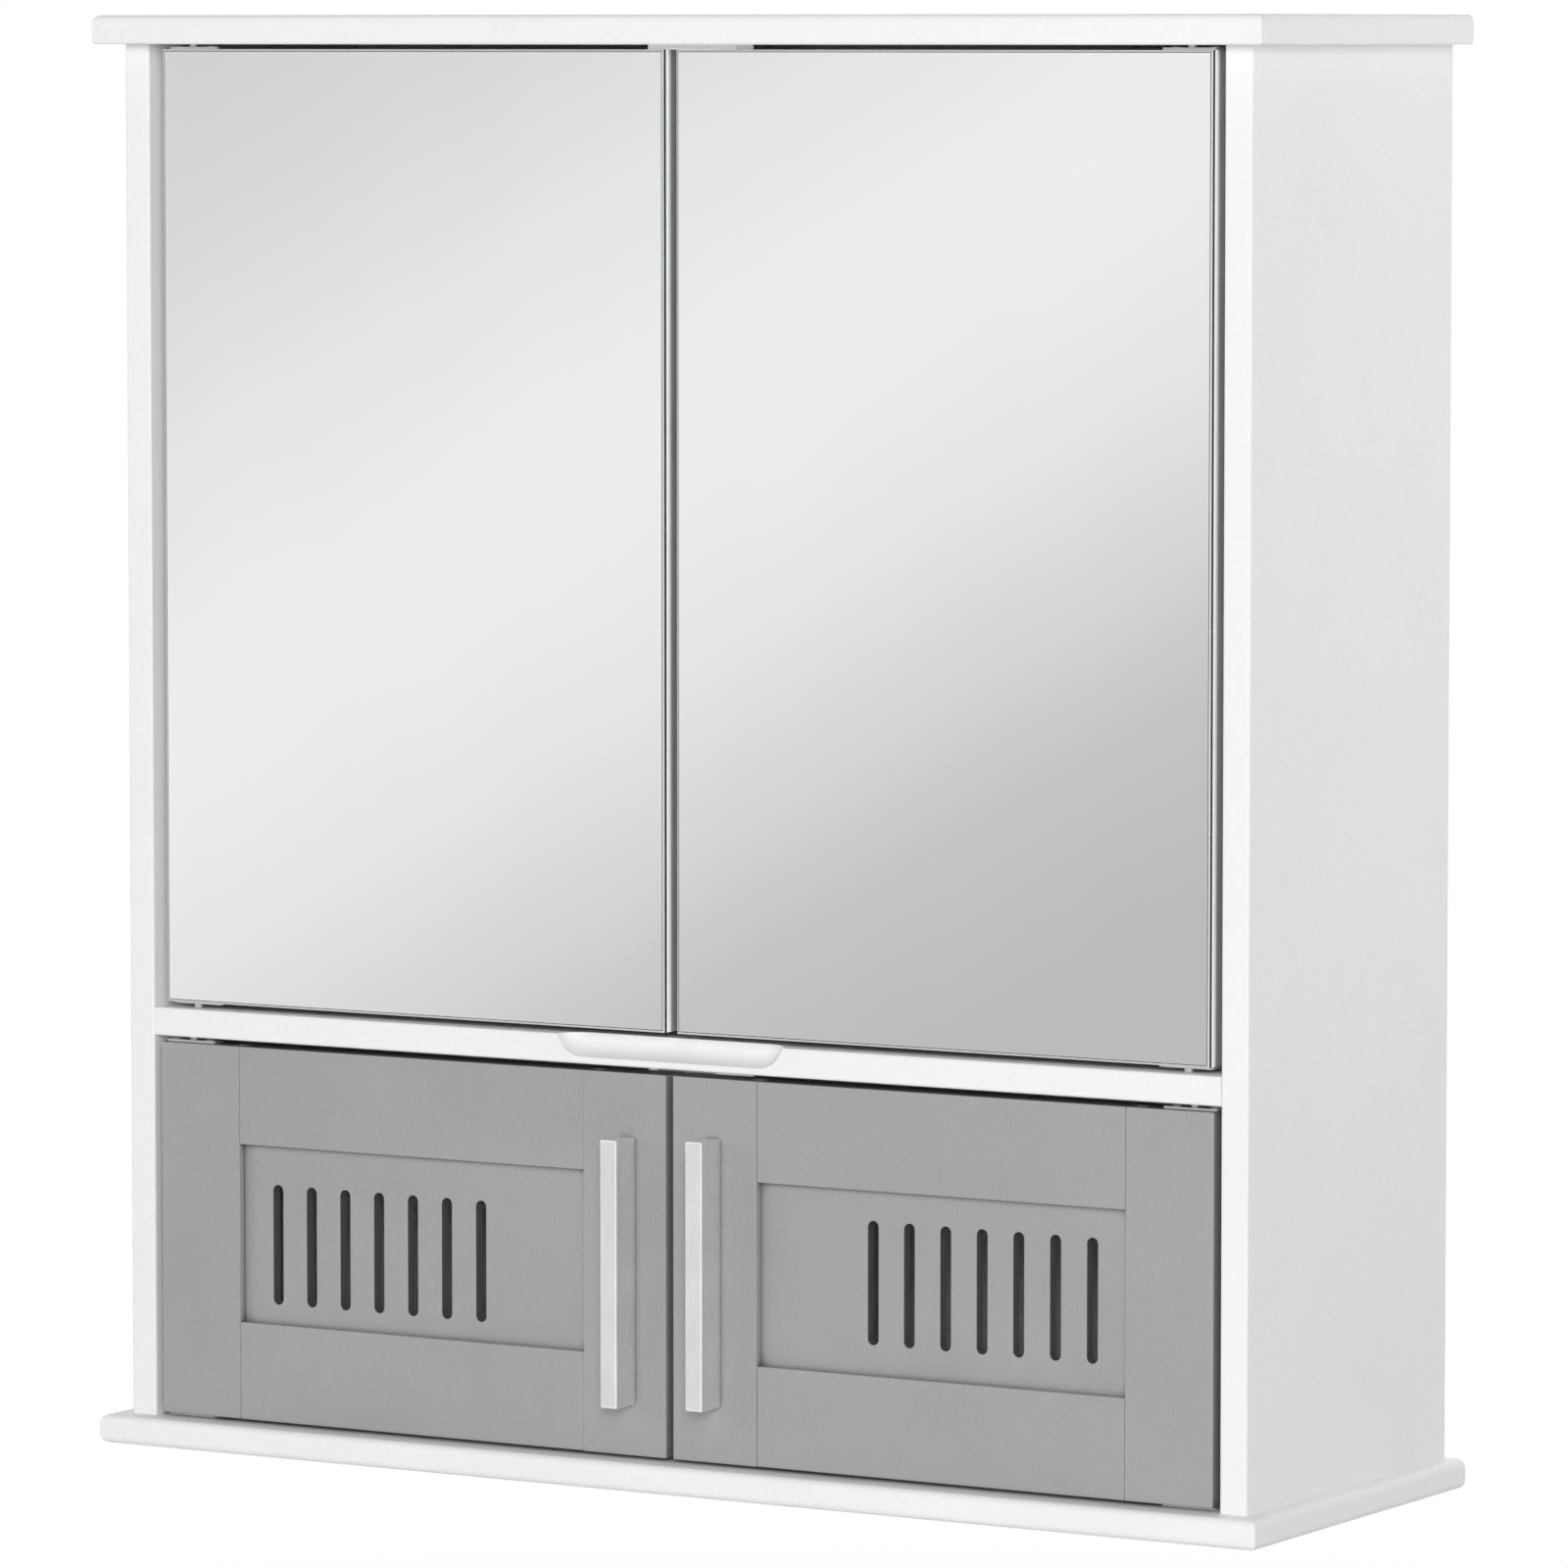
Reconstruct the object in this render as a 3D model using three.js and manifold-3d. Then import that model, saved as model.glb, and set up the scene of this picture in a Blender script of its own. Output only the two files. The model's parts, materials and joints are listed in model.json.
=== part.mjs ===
// A hanging wall cabinet for a bathroom: two frameless mirror doors above a fixed shelf
// and two panelled doors with bar handles below it. Every door turns on pivot pins.
// Millimetres, +Z up. The front faces -Y and the back lies on the wall plane, y = 0.
// The origin is on the wall plane, midway between the two keyhole hangers.

import * as THREE from 'three';
import { mergeVertices } from 'three/addons/utils/BufferGeometryUtils.js';
import Module from 'manifold-3d';

const wasm = await Module();
wasm.setup();

// ---- Driving sizes -------------------------------------------------------------------

const WIDTH = 550;
const DEPTH = 184;
const HEIGHT = 600;
const BOARD = 12;
const SIDE_OVERHANG = 9.5;
const FRONT_OVERHANG = 10.5;
const HANG_DROP = 42;

// Carcass, measured up from the underside of the cabinet.
const TOP_EDGES = { upper: 3, lower: 1.5 };
const BOTTOM_EDGES = { upper: 3.5, lower: 3.5 };
const ARRIS = 1.25;
const FRONT_Y = FRONT_OVERHANG - DEPTH;
const OUTER_X = WIDTH / 2 - SIDE_OVERHANG;
const INNER_X = OUTER_X - BOARD;
const FLOOR_Z = BOARD;
const CEILING_Z = HEIGHT - BOARD;
const SHELF_BASE_Z = 173;
const SHELF_TOP_Z = SHELF_BASE_Z + BOARD;

// Back panel, held in a groove in each side.
const BACK = 3;
const BACK_INSET = 12;
const BACK_FRONT_Y = -(BACK_INSET + BACK);
const GROOVE_DEPTH = 4.5;
const GROOVE_PLAY = 0.25;

// Finger scoop in the front of the fixed shelf, cut by a round-ended bar.
const SCOOP_RADIUS = 12;
const SCOOP_STRAIGHT = 84;
const SCOOP_AHEAD = 2;
const SCOOP_ABOVE = 2.75;

// Loose shelf on four pins.
const LOOSE_SHELF = { width: 502, depth: 124, thick: 10, baseZ: 380, backGap: 1, lift: 0.05 };
const PIN_RADIUS = 2.5;
const PIN_COLLAR_RADIUS = 3.5;
const PIN_COLLAR = 1.5;
const PIN_REACH = 8;
const PIN_BORE_DEPTH = 8.5;
const PIN_ROWS = [-32, 0, 32];
const PIN_INSET = 22;
const CLEAR = 0.15;
const DRILL_START = 0.01;

// Wall fixing: a rail behind the back panel carries two keyhole plates.
const RAIL = { height: 60, thick: 9.5 };
const HANGER = { x: 190, width: 44, height: 26, thick: 1.5, corner: 3 };
const HANGER_SCREW_X = 17;
const KEYHOLE = { headRadius: 5, neckRadius: 2.75, rise: 9, drop: 4 };
const KEYHOLE_POCKET = { width: 22, height: 24, depth: 7 };
const HANGER_SCREW = { headRadius: 3, head: 0.75, shankRadius: 1.5, shank: 8 };

// A round screw head's flat crown and its rim, as parts of its radius and its height.
const SCREW_CROWN = 0.7;
const SCREW_RIM = 0.4;

// Pivot hinges: a plate with a pin on each door edge, turning in a bush in the board.
const PIVOT_FROM_EDGE = 12;
const PIVOT_PIN_RADIUS = 2;
const PIVOT_ENGAGE = 4.25;
const PLATE = { length: 24.5, width: 9, thick: 1, fromEdge: 0.5, corner: 2 };
const BUSH = { radius: 4, bore: 2.08, depth: 5 };

// Mirror doors: a mirror bonded to a board.
const MIRROR = {
  sideGap: 6, topGap: 2, bottomGap: 2.75, centreGap: 6, recess: 1.5,
  glass: 4, board: 11, pivotBack: 6, plateBack: 8,
};

// Lower doors: two stiles, two rails and a slotted panel held in grooves.
const LOWER = {
  sideGap: 3.25, topGap: 2.5, bottomGap: 1.5, centreGap: 3.5, recess: 0.5,
  board: 15, pivotBack: 7.5, plateBack: 7.5, stile: 39.5, rail: 41,
};
const PANEL = { recess: 4, thick: 5, tongue: 5.5 };
const SLOTS = { count: 7, pitch: 16.75, width: 5, height: 50.5 };
const SLOT_DROP = { left: 4.25, right: 0.25 };
const HANDLE = { width: 8, reach: 15, length: 110, fromEdge: 18.5, corner: 0.75, edge: 0.5 };
const HANDLE_DROP = { left: 2.5, right: 0.75 };
const HANDLE_SCREW = { spacing: 96, headRadius: 4, head: 2, shankRadius: 2, bite: 8 };
const HANDLE_BORE_RADIUS = 2.3;

// Double magnetic catches at the middle of each door pair, and the doors' strikers. The
// left lower door's striker stands a little above its door.
const CATCH = { width: 42, depth: 14, height: 11, standOff: 18.5 };
const CATCH_POCKET = { width: 24, depth: 6, lip: 1.5 };
const STRIKER = { width: 12, height: 12.5, thick: 1, fromEdge: 1 };
const STRIKER_DROP = { mirror: 1.5, left: -0.75, right: 1.5 };

const ROUND = 24;
const FINE_ROUND = 4;

// ---- Materials -----------------------------------------------------------------------

function material(color, roughness, metalness = 0) {
  return new THREE.MeshStandardMaterial({ color, roughness, metalness });
}

const WHITE = material(0xf1f1f0, 0.45);
const WHITE_INSIDE = material(0xe8e8e6, 0.55);
const GREY = material(0xa6a8aa, 0.5);
const MIRROR_GLASS = material(0xdfe4e6, 0.03, 1);
const ALUMINIUM = material(0xd4d5d6, 0.32, 1);
const STEEL = material(0xb9bbbd, 0.3, 1);
const NYLON = material(0xe4e4de, 0.5);
const CATCH_PLASTIC = material(0xb4b6b6, 0.5);

// ---- Solid helpers -------------------------------------------------------------------

const ALONG_X = new THREE.Matrix4().makeBasis(
  new THREE.Vector3(0, 1, 0), new THREE.Vector3(0, 0, 1), new THREE.Vector3(1, 0, 0),
);
const TOWARDS_FRONT = new THREE.Matrix4().makeBasis(
  new THREE.Vector3(1, 0, 0), new THREE.Vector3(0, 0, 1), new THREE.Vector3(0, -1, 0),
);

// A box between two opposite corners, given as the limits on each axis.
function box([x0, x1], [y0, y1], [z0, z1]) {
  const geometry = new THREE.BoxGeometry(Math.abs(x1 - x0), y1 - y0, z1 - z0);
  return geometry.translate((x0 + x1) / 2, (y0 + y1) / 2, (z0 + z1) / 2);
}

function solidOf(geometry) {
  const bare = geometry.clone();
  bare.deleteAttribute('normal');
  bare.deleteAttribute('uv');
  const merged = mergeVertices(bare);
  const vertProperties = Float32Array.from(merged.attributes.position.array);
  const triVerts = Uint32Array.from(merged.index.array);
  return new wasm.Manifold(new wasm.Mesh({ numProp: 3, vertProperties, triVerts }));
}

function geometryOf(solid) {
  const { vertProperties, triVerts } = solid.getMesh();
  const geometry = new THREE.BufferGeometry();
  geometry.setAttribute('position', new THREE.BufferAttribute(vertProperties, 3));
  geometry.setIndex(new THREE.BufferAttribute(triVerts, 1));
  return geometry;
}

function cut(body, tools) {
  return geometryOf(tools.reduce((rest, tool) => rest.subtract(solidOf(tool)), solidOf(body)));
}

function join(body, other) {
  return geometryOf(solidOf(body).add(solidOf(other)));
}

function common(body, other) {
  return geometryOf(solidOf(body).intersect(solidOf(other)));
}

// A rectangle centred on the origin with round corners, the lower two alike if not given.
function roundedRectangle(width, height, radius, lower = radius) {
  const shape = new THREE.Shape();
  const x = width / 2;
  const y = height / 2;
  shape.absarc(x - radius, y - radius, radius, 0, Math.PI / 2);
  shape.absarc(radius - x, y - radius, radius, Math.PI / 2, Math.PI);
  shape.absarc(lower - x, lower - y, lower, Math.PI, Math.PI * 1.5);
  shape.absarc(x - lower, lower - y, lower, Math.PI * 1.5, Math.PI * 2);
  shape.closePath();
  return shape;
}

function extrude(shape, depth, options = {}) {
  const settings = { depth, bevelEnabled: false, curveSegments: FINE_ROUND, ...options };
  return new THREE.ExtrudeGeometry(shape, settings);
}

// A round bar along Z with its lower end at baseZ.
function barZ(radius, length, x, y, baseZ) {
  const bar = new THREE.CylinderGeometry(radius, radius, length, ROUND).rotateX(Math.PI / 2);
  return bar.translate(x, y, baseZ + length / 2);
}

// A round bar along X, centred on x.
function barX(radius, length, x, y, z) {
  const bar = new THREE.CylinderGeometry(radius, radius, length, ROUND / 2).rotateZ(Math.PI / 2);
  return bar.translate(x, y, z);
}

// A round bar along Y, centred on y.
function barY(radius, length, x, y, z) {
  return new THREE.CylinderGeometry(radius, radius, length, ROUND / 2).translate(x, y, z);
}

function part(parent, name, geometry, look, position = [0, 0, 0]) {
  const mesh = new THREE.Mesh(geometry, look);
  mesh.name = name;
  mesh.position.set(...position);
  parent.add(mesh);
  return mesh;
}

// ---- Places shared by the boards and the doors ---------------------------------------

const SIDES = [{ name: 'left', sign: -1 }, { name: 'right', sign: 1 }];

// The pivot axis, the door's limits and its sizes, for an opening between two heights.
function doorPlan(kind, floorZ, ceilingZ) {
  const outerX = INNER_X - kind.sideGap;
  const baseZ = floorZ + kind.bottomGap;
  const topZ = ceilingZ - kind.topGap;
  return {
    ...kind, floorZ, ceilingZ, baseZ, topZ,
    width: outerX - kind.centreGap / 2,
    height: topZ - baseZ,
    pivotX: outerX - PIVOT_FROM_EDGE,
    pivotY: FRONT_Y + kind.recess + kind.pivotBack,
    frontY: -kind.pivotBack,
  };
}

const MIRROR_PLAN = doorPlan(MIRROR, SHELF_TOP_Z, CEILING_Z);
const LOWER_PLAN = doorPlan(LOWER, FLOOR_Z, SHELF_BASE_Z);

// The blind holes that take a door pair's bushes, in the board below or above the pair.
function bushHoles(plan, faceZ, upwards) {
  const depth = BUSH.depth + CLEAR;
  const baseZ = upwards ? faceZ : faceZ - depth;
  return SIDES.map(({ sign }) => (
    barZ(BUSH.radius + CLEAR, depth, sign * plan.pivotX, plan.pivotY, baseZ)
  ));
}

// ---- Carcass boards ------------------------------------------------------------------

// The top or bottom board: eased front and side edges that meet in a mitre at the front
// corners, cut square at the wall.
function outerBoard(baseZ, { upper, lower }) {
  const spare = 2 * BOARD;
  const frontSection = roundedRectangle(DEPTH + spare, BOARD, upper, lower);
  const alongFront = extrude(frontSection, WIDTH).applyMatrix4(ALONG_X);
  alongFront.translate(-WIDTH / 2, (spare - DEPTH) / 2, 0);
  const sideSection = roundedRectangle(WIDTH, BOARD, upper, lower);
  const alongSides = extrude(sideSection, DEPTH + spare).applyMatrix4(TOWARDS_FRONT);
  alongSides.translate(0, spare, 0);
  const board = common(alongFront, alongSides).translate(0, 0, baseZ + BOARD / 2);
  return cut(board, [box([-WIDTH, WIDTH], [0, DEPTH], [-BOARD, HEIGHT + BOARD])]);
}

// One side: a front edge with small round arrises, the back groove and the pin holes.
function sideBoard(sign) {
  const length = CEILING_Z - FLOOR_Z;
  const depth = -FRONT_Y;
  const spare = 4 * ARRIS;
  const outline = roundedRectangle(BOARD, depth + spare, ARRIS);
  const board = extrude(outline, length);
  board.translate(sign * (OUTER_X - BOARD / 2), (spare - depth) / 2, FLOOR_Z);
  const grooveX = [sign * (INNER_X - 1), sign * (INNER_X + GROOVE_DEPTH)];
  const grooveY = [BACK_FRONT_Y - GROOVE_PLAY, -BACK_INSET + GROOVE_PLAY];
  const pastWall = box([-WIDTH, WIDTH], [0, depth], [-BOARD, HEIGHT]);
  const groove = box(grooveX, grooveY, [-BOARD, HEIGHT]);
  return cut(board, [pastWall, groove, ...pinBores(sign)]);
}

function pinBores(sign) {
  const x = sign * (INNER_X + PIN_BORE_DEPTH / 2);
  return PIN_COLUMNS.flatMap((y) => PIN_ROWS.map((row) => (
    barX(PIN_RADIUS + CLEAR, PIN_BORE_DEPTH + DRILL_START, x, y, PIN_Z + row)
  )));
}

const LOOSE_SHELF_BACK_Y = BACK_FRONT_Y - LOOSE_SHELF.backGap;
const LOOSE_SHELF_FRONT_Y = LOOSE_SHELF_BACK_Y - LOOSE_SHELF.depth;
const PIN_COLUMNS = [LOOSE_SHELF_FRONT_Y + PIN_INSET, LOOSE_SHELF_BACK_Y - PIN_INSET];
const PIN_Z = LOOSE_SHELF.baseZ - PIN_RADIUS - LOOSE_SHELF.lift;

// The fixed shelf, with the finger scoop that opens the mirror doors.
function fixedShelf() {
  const depth = BACK_FRONT_Y - FRONT_Y;
  const spare = 4 * ARRIS;
  const outline = roundedRectangle(depth + spare, BOARD, ARRIS);
  const board = extrude(outline, 2 * INNER_X).applyMatrix4(ALONG_X);
  const middleY = (FRONT_Y + BACK_FRONT_Y + spare) / 2;
  board.translate(-INNER_X, middleY, SHELF_BASE_Z + BOARD / 2);
  const scoop = new THREE.CapsuleGeometry(SCOOP_RADIUS, SCOOP_STRAIGHT, 2 * FINE_ROUND, ROUND);
  scoop.rotateZ(Math.PI / 2).translate(0, FRONT_Y - SCOOP_AHEAD, SHELF_TOP_Z + SCOOP_ABOVE);
  const pastBack = box([-WIDTH, WIDTH], [BACK_FRONT_Y, 0], [0, HEIGHT]);
  const holes = [
    ...bushHoles(MIRROR_PLAN, SHELF_TOP_Z, false),
    ...bushHoles(LOWER_PLAN, SHELF_BASE_Z, true),
  ];
  return cut(board, [pastBack, scoop, ...holes]);
}

function backPanel() {
  const halfWidth = INNER_X + GROOVE_DEPTH - GROOVE_PLAY;
  return box([-halfWidth, halfWidth], [BACK_FRONT_Y, -BACK_INSET], [FLOOR_Z, CEILING_Z]);
}

function addBoards(parent) {
  const ceilingHoles = bushHoles(MIRROR_PLAN, CEILING_Z, true);
  const floorHoles = bushHoles(LOWER_PLAN, FLOOR_Z, false);
  part(parent, 'top_panel', cut(outerBoard(CEILING_Z, TOP_EDGES), ceilingHoles), WHITE);
  part(parent, 'bottom_panel', cut(outerBoard(0, BOTTOM_EDGES), floorHoles), WHITE);
  for (const { name, sign } of SIDES) {
    part(parent, `side_${name}`, sideBoard(sign), WHITE);
  }
  part(parent, 'middle_shelf', fixedShelf(), WHITE);
  part(parent, 'back_panel', backPanel(), WHITE_INSIDE);
}

// ---- Loose shelf and its pins --------------------------------------------------------

function addLooseShelf(parent) {
  const { width, thick, baseZ } = LOOSE_SHELF;
  const limitsY = [LOOSE_SHELF_FRONT_Y, LOOSE_SHELF_BACK_Y];
  const shelf = box([-width / 2, width / 2], limitsY, [baseZ, baseZ + thick]);
  part(parent, 'loose_shelf', shelf, WHITE_INSIDE);
  for (const { name, sign } of SIDES) {
    PIN_COLUMNS.forEach((y, column) => {
      const place = column === 0 ? 'front' : 'rear';
      part(parent, `shelf_pin_${name}_${place}`, shelfPin(sign), STEEL, [sign * INNER_X, y, PIN_Z]);
    });
  }
}

// A pin with a collar that stops against the side; the origin is on the side's face.
function shelfPin(sign) {
  const profile = [
    [0, -PIN_REACH],
    [PIN_RADIUS, -PIN_REACH],
    [PIN_RADIUS, -PIN_COLLAR],
    [PIN_COLLAR_RADIUS, -PIN_COLLAR],
    [PIN_COLLAR_RADIUS, 0],
    [PIN_RADIUS, 0],
    [PIN_RADIUS, PIN_REACH],
    [0, PIN_REACH],
  ].map(([radius, along]) => new THREE.Vector2(radius, along));
  return new THREE.LatheGeometry(profile, ROUND / 2).rotateZ(-sign * Math.PI / 2);
}

// ---- Wall fixing ---------------------------------------------------------------------

const HANGER_Z = HEIGHT - HANG_DROP;
const RAIL_FRONT_Y = -BACK_INSET;
const RAIL_BACK_Y = RAIL_FRONT_Y + RAIL.thick;
const HANGER_BACK_Y = RAIL_BACK_Y + HANGER.thick;

// A circle for a screw head with a narrow neck above it, centred on the origin.
function keyhole() {
  const { headRadius, neckRadius, rise, drop } = KEYHOLE;
  const meet = Math.asin(neckRadius / headRadius);
  const hole = new THREE.Path();
  hole.absarc(0, rise - drop, neckRadius, 0, Math.PI);
  hole.absarc(0, -drop, headRadius, Math.PI / 2 + meet, Math.PI * 2.5 - meet);
  hole.closePath();
  return hole;
}

function hangerPlate() {
  const outline = roundedRectangle(HANGER.width, HANGER.height, HANGER.corner);
  outline.holes.push(keyhole());
  const plate = extrude(outline, HANGER.thick).applyMatrix4(TOWARDS_FRONT);
  const holes = [-1, 1].map((sign) => (
    barY(HANGER_SCREW.shankRadius + CLEAR, 4 * HANGER.thick, sign * HANGER_SCREW_X, 0, 0)
  ));
  return cut(plate, holes);
}

function hangingRail() {
  const limitsZ = [CEILING_Z - RAIL.height, CEILING_Z];
  const rail = box([-INNER_X, INNER_X], [RAIL_FRONT_Y, RAIL_BACK_Y], limitsZ);
  const { width, height, depth } = KEYHOLE_POCKET;
  const screwBore = HANGER_SCREW.shankRadius + CLEAR;
  const tools = SIDES.flatMap(({ sign }) => {
    const x = sign * HANGER.x;
    const pocketX = [x - width / 2, x + width / 2];
    const pocketZ = [HANGER_Z - height / 2, HANGER_Z + height / 2];
    const bores = [-1, 1].map((end) => (
      barY(screwBore, 2 * HANGER_SCREW.shank, x + end * HANGER_SCREW_X, RAIL_BACK_Y, HANGER_Z)
    ));
    return [box(pocketX, [RAIL_BACK_Y - depth, RAIL_BACK_Y + 1], pocketZ), ...bores];
  });
  return cut(rail, tools);
}

// A round-headed screw along -Y, with the underside of its head at the origin.
function screw({ headRadius, head, shankRadius, shank }) {
  const profile = [
    [0, -shank],
    [shankRadius, -shank],
    [shankRadius, 0],
    [headRadius, 0],
    [headRadius, head * SCREW_RIM],
    [headRadius * SCREW_CROWN, head],
    [0, head],
  ].map(([radius, along]) => new THREE.Vector2(radius, along));
  return new THREE.LatheGeometry(profile, ROUND / 2);
}

function addWallFixing(parent) {
  part(parent, 'hanging_rail', hangingRail(), WHITE_INSIDE);
  for (const { name, sign } of SIDES) {
    const x = sign * HANGER.x;
    part(parent, `hanger_${name}`, hangerPlate(), STEEL, [x, HANGER_BACK_Y, HANGER_Z]);
    for (const end of SIDES) {
      const place = [x + end.sign * HANGER_SCREW_X, HANGER_BACK_Y, HANGER_Z];
      part(parent, `hanger_screw_${name}_${end.name}`, screw(HANGER_SCREW), STEEL, place);
    }
  }
}

// ---- Bushes and magnetic catches -----------------------------------------------------

function bush() {
  const { radius, bore, depth } = BUSH;
  const corners = [[bore, 0], [radius, 0], [radius, depth], [bore, depth], [bore, 0]];
  const profile = corners.map(([r, along]) => new THREE.Vector2(r, along));
  return new THREE.LatheGeometry(profile, ROUND).rotateX(Math.PI / 2);
}

function addBushes(parent, plan, label) {
  for (const { name, sign } of SIDES) {
    const x = sign * plan.pivotX;
    part(parent, `bush_${label}_${name}_top`, bush(), NYLON, [x, plan.pivotY, plan.ceilingZ]);
    const baseZ = plan.floorZ - BUSH.depth;
    part(parent, `bush_${label}_${name}_base`, bush(), NYLON, [x, plan.pivotY, baseZ]);
  }
}

// A catch fixed under a board, with a pocket in its face for the two magnets.
function addCatch(parent, name, underZ) {
  const frontY = FRONT_Y + CATCH.standOff;
  const halfWidth = CATCH.width / 2;
  const baseZ = underZ - CATCH.height;
  const body = box([-halfWidth, halfWidth], [frontY, frontY + CATCH.depth], [baseZ, underZ]);
  const halfPocket = CATCH_POCKET.width / 2;
  const pocketY = [frontY - 1, frontY + CATCH_POCKET.depth];
  const pocketZ = [baseZ + CATCH_POCKET.lip, underZ - CATCH_POCKET.lip];
  const pocket = box([-halfPocket, halfPocket], pocketY, pocketZ);
  part(parent, name, cut(body, [pocket]), CATCH_PLASTIC);
}

// ---- Doors ---------------------------------------------------------------------------

// A door's group stands on its pivot axis. Distances across a door are measured from its
// hinged edge towards its free edge.
function acrossDoor(sign, from, to) {
  return [sign * (PIVOT_FROM_EDGE - from), sign * (PIVOT_FROM_EDGE - to)];
}

function pivotPlate(sign, plan, upwards) {
  const { length, width, thick, fromEdge, corner } = PLATE;
  const [x0, x1] = acrossDoor(sign, fromEdge, fromEdge + length);
  const plate = extrude(roundedRectangle(length, width, corner), thick);
  plate.translate((x0 + x1) / 2, plan.plateBack - plan.pivotBack, upwards ? 0 : -thick);
  const gap = upwards ? plan.topGap : plan.bottomGap;
  const reach = gap + PIVOT_ENGAGE;
  const pin = barZ(PIVOT_PIN_RADIUS, reach, 0, 0, upwards ? 0 : -reach);
  return join(plate, pin);
}

function addPivots(door, label, sign, plan) {
  part(door, `${label}_pivot_top`, pivotPlate(sign, plan, true), STEEL, [0, 0, plan.topZ]);
  part(door, `${label}_pivot_base`, pivotPlate(sign, plan, false), STEEL, [0, 0, plan.baseZ]);
}

function addStriker(door, label, sign, plan, backY, drop) {
  const { width, height, thick, fromEdge } = STRIKER;
  const limitsX = acrossDoor(sign, plan.width - fromEdge - width, plan.width - fromEdge);
  const topZ = plan.topZ - drop;
  const plate = box(limitsX, [backY, backY + thick], [topZ - height, topZ]);
  part(door, `${label}_striker`, plate, STEEL);
}

function doorGroup(parent, sign, plan) {
  const door = new THREE.Group();
  door.position.set(sign * plan.pivotX, plan.pivotY, 0);
  parent.add(door);
  return door;
}

function addMirrorDoor(parent, { name, sign }) {
  const plan = MIRROR_PLAN;
  const label = `mirror_${name}`;
  const door = doorGroup(parent, sign, plan);
  const limitsX = acrossDoor(sign, 0, plan.width);
  const limitsZ = [plan.baseZ, plan.topZ];
  const glassBackY = plan.frontY + plan.glass;
  const backY = glassBackY + plan.board;
  part(door, `${label}_glass`, box(limitsX, [plan.frontY, glassBackY], limitsZ), MIRROR_GLASS);
  part(door, `${label}_board`, box(limitsX, [glassBackY, backY], limitsZ), WHITE);
  addPivots(door, label, sign, plan);
  addStriker(door, label, sign, plan, backY, STRIKER_DROP.mirror);
}

// The panel: seven upright round-ended slots, the first one pitch from the hinge stile.
function slottedPanel(sign, plan, slotDrop) {
  const sightWidth = plan.width - 2 * plan.stile;
  const sightHeight = plan.height - 2 * plan.rail;
  const halfWidth = sightWidth / 2 + PANEL.tongue;
  const halfHeight = sightHeight / 2 + PANEL.tongue;
  const outline = new THREE.Shape();
  outline.moveTo(-halfWidth, -halfHeight);
  outline.lineTo(halfWidth, -halfHeight);
  outline.lineTo(halfWidth, halfHeight);
  outline.lineTo(-halfWidth, halfHeight);
  outline.closePath();
  for (let i = 1; i <= SLOTS.count; i += 1) {
    outline.holes.push(roundEndedSlot(sign * (sightWidth / 2 - i * SLOTS.pitch), -slotDrop));
  }
  return extrude(outline, PANEL.thick).applyMatrix4(TOWARDS_FRONT);
}

function roundEndedSlot(x, z) {
  const radius = SLOTS.width / 2;
  const straight = SLOTS.height / 2 - radius;
  const slot = new THREE.Path();
  slot.absarc(x, z + straight, radius, 0, Math.PI);
  slot.absarc(x, z - straight, radius, Math.PI, Math.PI * 2);
  slot.closePath();
  return slot;
}

function handleBar() {
  const { width, reach, length, corner, edge } = HANDLE;
  const outline = roundedRectangle(width, length, corner);
  const bar = extrude(outline, reach - edge, {
    bevelEnabled: true,
    bevelThickness: edge,
    bevelSize: edge,
    bevelOffset: -edge,
    bevelSegments: 2,
  });
  bar.applyMatrix4(TOWARDS_FRONT);
  const behindDoor = box([-width, width], [0, reach], [-length, length]);
  const bores = [-1, 1].map((end) => (
    barY(HANDLE_BORE_RADIUS, 2 * (HANDLE_SCREW.bite + 1), 0, 0, end * HANDLE_SCREW.spacing / 2)
  ));
  return cut(bar, [behindDoor, ...bores]);
}

// The four frame pieces. Each is grooved along its inner edge for the panel.
function addDoorFrame(door, label, sign, plan, handlePlace) {
  const limitsY = [plan.frontY, plan.frontY + plan.board];
  const fullZ = [plan.baseZ, plan.topZ];
  const groove = PANEL.tongue + GROOVE_PLAY;
  const panelY = plan.frontY + PANEL.recess;
  const grooveY = [panelY - GROOVE_PLAY, panelY + PANEL.thick + GROOVE_PLAY];
  const { stile, rail, width } = plan;

  const hingeStile = box(acrossDoor(sign, 0, stile), limitsY, fullZ);
  const hingeGroove = box(acrossDoor(sign, stile - groove, stile + 1), grooveY, [0, HEIGHT]);
  part(door, `${label}_stile_hinge`, cut(hingeStile, [hingeGroove]), GREY);

  const freeStile = box(acrossDoor(sign, width - stile, width), limitsY, fullZ);
  const freeFrom = width - stile;
  const freeGroove = box(acrossDoor(sign, freeFrom - 1, freeFrom + groove), grooveY, [0, HEIGHT]);
  const bores = handlePlace.screwZ.map((z) => (
    barY(HANDLE_BORE_RADIUS, 3 * plan.board, handlePlace.x, 0, z)
  ));
  part(door, `${label}_stile_free`, cut(freeStile, [freeGroove, ...bores]), GREY);

  const railX = acrossDoor(sign, stile, width - stile);
  const acrossAll = acrossDoor(sign, 0, width);
  const topRail = box(railX, limitsY, [plan.topZ - rail, plan.topZ]);
  const topGroove = box(acrossAll, grooveY, [plan.topZ - rail - 1, plan.topZ - rail + groove]);
  part(door, `${label}_rail_top`, cut(topRail, [topGroove]), GREY);
  const baseRail = box(railX, limitsY, [plan.baseZ, plan.baseZ + rail]);
  const baseGroove = box(acrossAll, grooveY, [plan.baseZ + rail - groove, plan.baseZ + rail + 1]);
  part(door, `${label}_rail_base`, cut(baseRail, [baseGroove]), GREY);
}

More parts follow.
